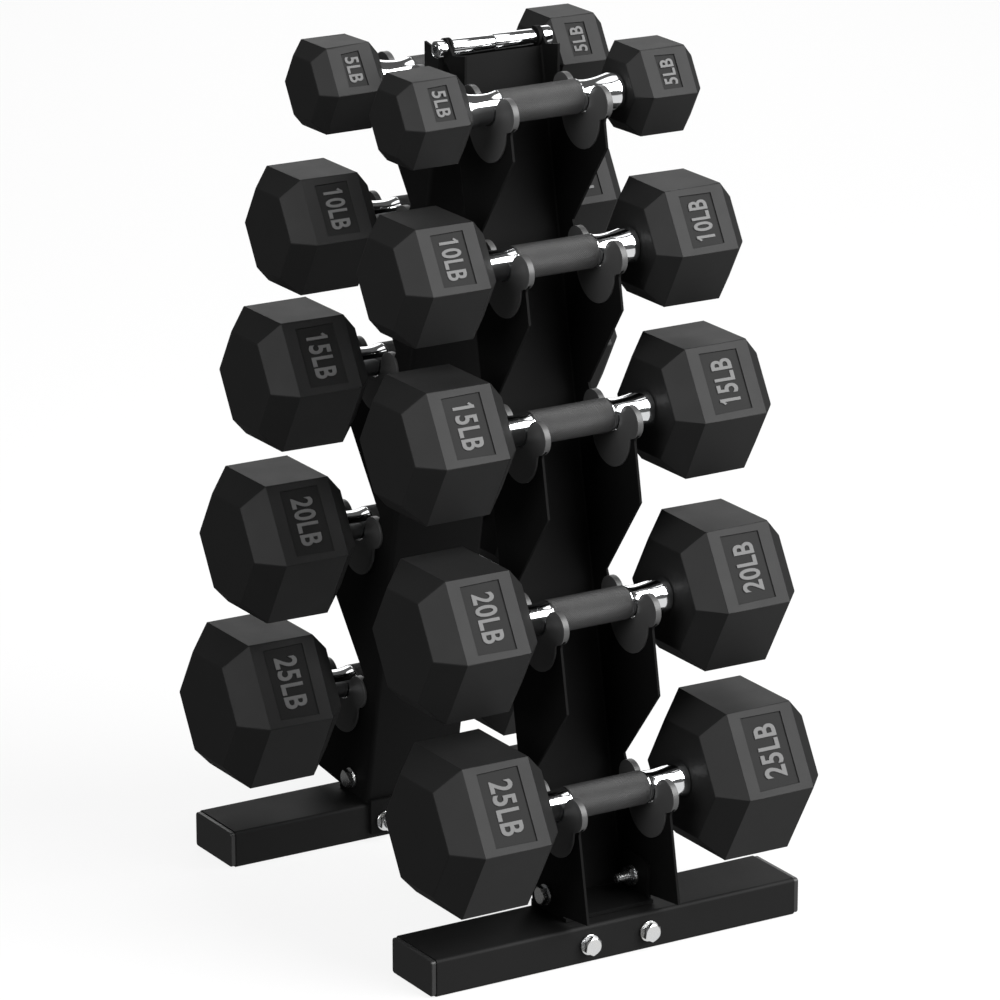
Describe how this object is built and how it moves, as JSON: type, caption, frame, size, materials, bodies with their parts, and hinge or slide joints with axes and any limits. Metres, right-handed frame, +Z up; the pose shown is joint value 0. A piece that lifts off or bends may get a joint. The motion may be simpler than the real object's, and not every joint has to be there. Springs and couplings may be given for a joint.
{
  "type": "dumbbell rack",
  "caption": "Free-standing A-frame rack of two toothed channel legs on tube feet, holding hexagonal dumbbells on five tiers at front and back.",
  "frame": {"origin": "on the floor, in the middle of the footprint of the two feet", "axes": "+Z up, +X along the dumbbell handles, the front of the rack towards -Y"},
  "size_m": [0.3284, 0.4614, 0.679],
  "materials": {
    "frame_powder_coat": "satin black powder coat",
    "bracket_black": "matte black paint",
    "cap_plastic": "matte black moulded plastic",
    "fastener_zinc": "bright zinc plate",
    "bar_chrome": "polished chrome",
    "handle_chrome": "polished chrome with a knurled grip",
    "head_rubber": "iron head in a matte charcoal rubber coat",
    "cradle_plastic": "matte dark grey moulded plastic"
  },
  "bodies": {
    "rack": {"front_leg": "frame_powder_coat", "rear_leg": "frame_powder_coat", "front_foot": "frame_powder_coat", "front_foot_bracket": "bracket_black", "front_foot_cap_left": "cap_plastic", "front_leg_bolt_left": "fastener_zinc", "front_leg_nut_left": "fastener_zinc", "front_foot_bolt_left": "fastener_zinc", "front_foot_nut_left": "fastener_zinc", "front_foot_cap_right": "cap_plastic", "front_leg_bolt_right": "fastener_zinc", "front_leg_nut_right": "fastener_zinc", "front_foot_bolt_right": "fastener_zinc", "front_foot_nut_right": "fastener_zinc", "rear_foot": "frame_powder_coat", "rear_foot_bracket": "bracket_black", "rear_foot_cap_left": "cap_plastic", "rear_leg_bolt_left": "fastener_zinc", "rear_leg_nut_left": "fastener_zinc", "rear_foot_bolt_left": "fastener_zinc", "rear_foot_nut_left": "fastener_zinc", "rear_foot_cap_right": "cap_plastic", "rear_leg_bolt_right": "fastener_zinc", "rear_leg_nut_right": "fastener_zinc", "rear_foot_bolt_right": "fastener_zinc", "rear_foot_nut_right": "fastener_zinc", "top_bolt": "bar_chrome", "top_nut": "bar_chrome", "top_sleeve_left": "bar_chrome", "top_sleeve_right": "bar_chrome"},
    "front_25lb": {"front_25lb_handle": "handle_chrome", "front_25lb_head_left": "head_rubber", "front_25lb_head_right": "head_rubber"},
    "front_20lb": {"front_20lb_handle": "handle_chrome", "front_20lb_head_left": "head_rubber", "front_20lb_head_right": "head_rubber"},
    "front_15lb": {"front_15lb_handle": "handle_chrome", "front_15lb_head_left": "head_rubber", "front_15lb_head_right": "head_rubber"},
    "front_10lb": {"front_10lb_handle": "handle_chrome", "front_10lb_head_left": "head_rubber", "front_10lb_head_right": "head_rubber"},
    "front_5lb": {"front_5lb_handle": "handle_chrome", "front_5lb_head_left": "head_rubber", "front_5lb_head_right": "head_rubber"},
    "rear_25lb": {"rear_25lb_handle": "handle_chrome", "rear_25lb_head_left": "head_rubber", "rear_25lb_head_right": "head_rubber"},
    "rear_20lb": {"rear_20lb_handle": "handle_chrome", "rear_20lb_head_left": "head_rubber", "rear_20lb_head_right": "head_rubber"},
    "rear_15lb": {"rear_15lb_handle": "handle_chrome", "rear_15lb_head_left": "head_rubber", "rear_15lb_head_right": "head_rubber"},
    "rear_10lb": {"rear_10lb_handle": "handle_chrome", "rear_10lb_head_left": "head_rubber", "rear_10lb_head_right": "head_rubber"},
    "rear_5lb": {"rear_5lb_handle": "handle_chrome", "rear_5lb_head_left": "head_rubber", "rear_5lb_head_right": "head_rubber"}
  },
  "joints": [
    {"name": "front_25lb_lift", "type": "slide", "parent": "rack", "child": "front_25lb", "axis": [0, 0, 1], "range_m": [0, 0.022]},
    {"name": "front_20lb_lift", "type": "slide", "parent": "rack", "child": "front_20lb", "axis": [0, 0, 1], "range_m": [0, 0.022]},
    {"name": "front_15lb_lift", "type": "slide", "parent": "rack", "child": "front_15lb", "axis": [0, 0, 1], "range_m": [0, 0.022]},
    {"name": "front_10lb_lift", "type": "slide", "parent": "rack", "child": "front_10lb", "axis": [0, 0, 1], "range_m": [0, 0.022]},
    {"name": "front_5lb_lift", "type": "slide", "parent": "rack", "child": "front_5lb", "axis": [0, 0, 1], "range_m": [0, 0.12]},
    {"name": "rear_25lb_lift", "type": "slide", "parent": "rack", "child": "rear_25lb", "axis": [0, 0, 1], "range_m": [0, 0.022]},
    {"name": "rear_20lb_lift", "type": "slide", "parent": "rack", "child": "rear_20lb", "axis": [0, 0, 1], "range_m": [0, 0.022]},
    {"name": "rear_15lb_lift", "type": "slide", "parent": "rack", "child": "rear_15lb", "axis": [0, 0, 1], "range_m": [0, 0.022]},
    {"name": "rear_10lb_lift", "type": "slide", "parent": "rack", "child": "rear_10lb", "axis": [0, 0, 1], "range_m": [0, 0.022]},
    {"name": "rear_5lb_lift", "type": "slide", "parent": "rack", "child": "rear_5lb", "axis": [0, 0, 1], "range_m": [0, 0.12]}
  ]
}
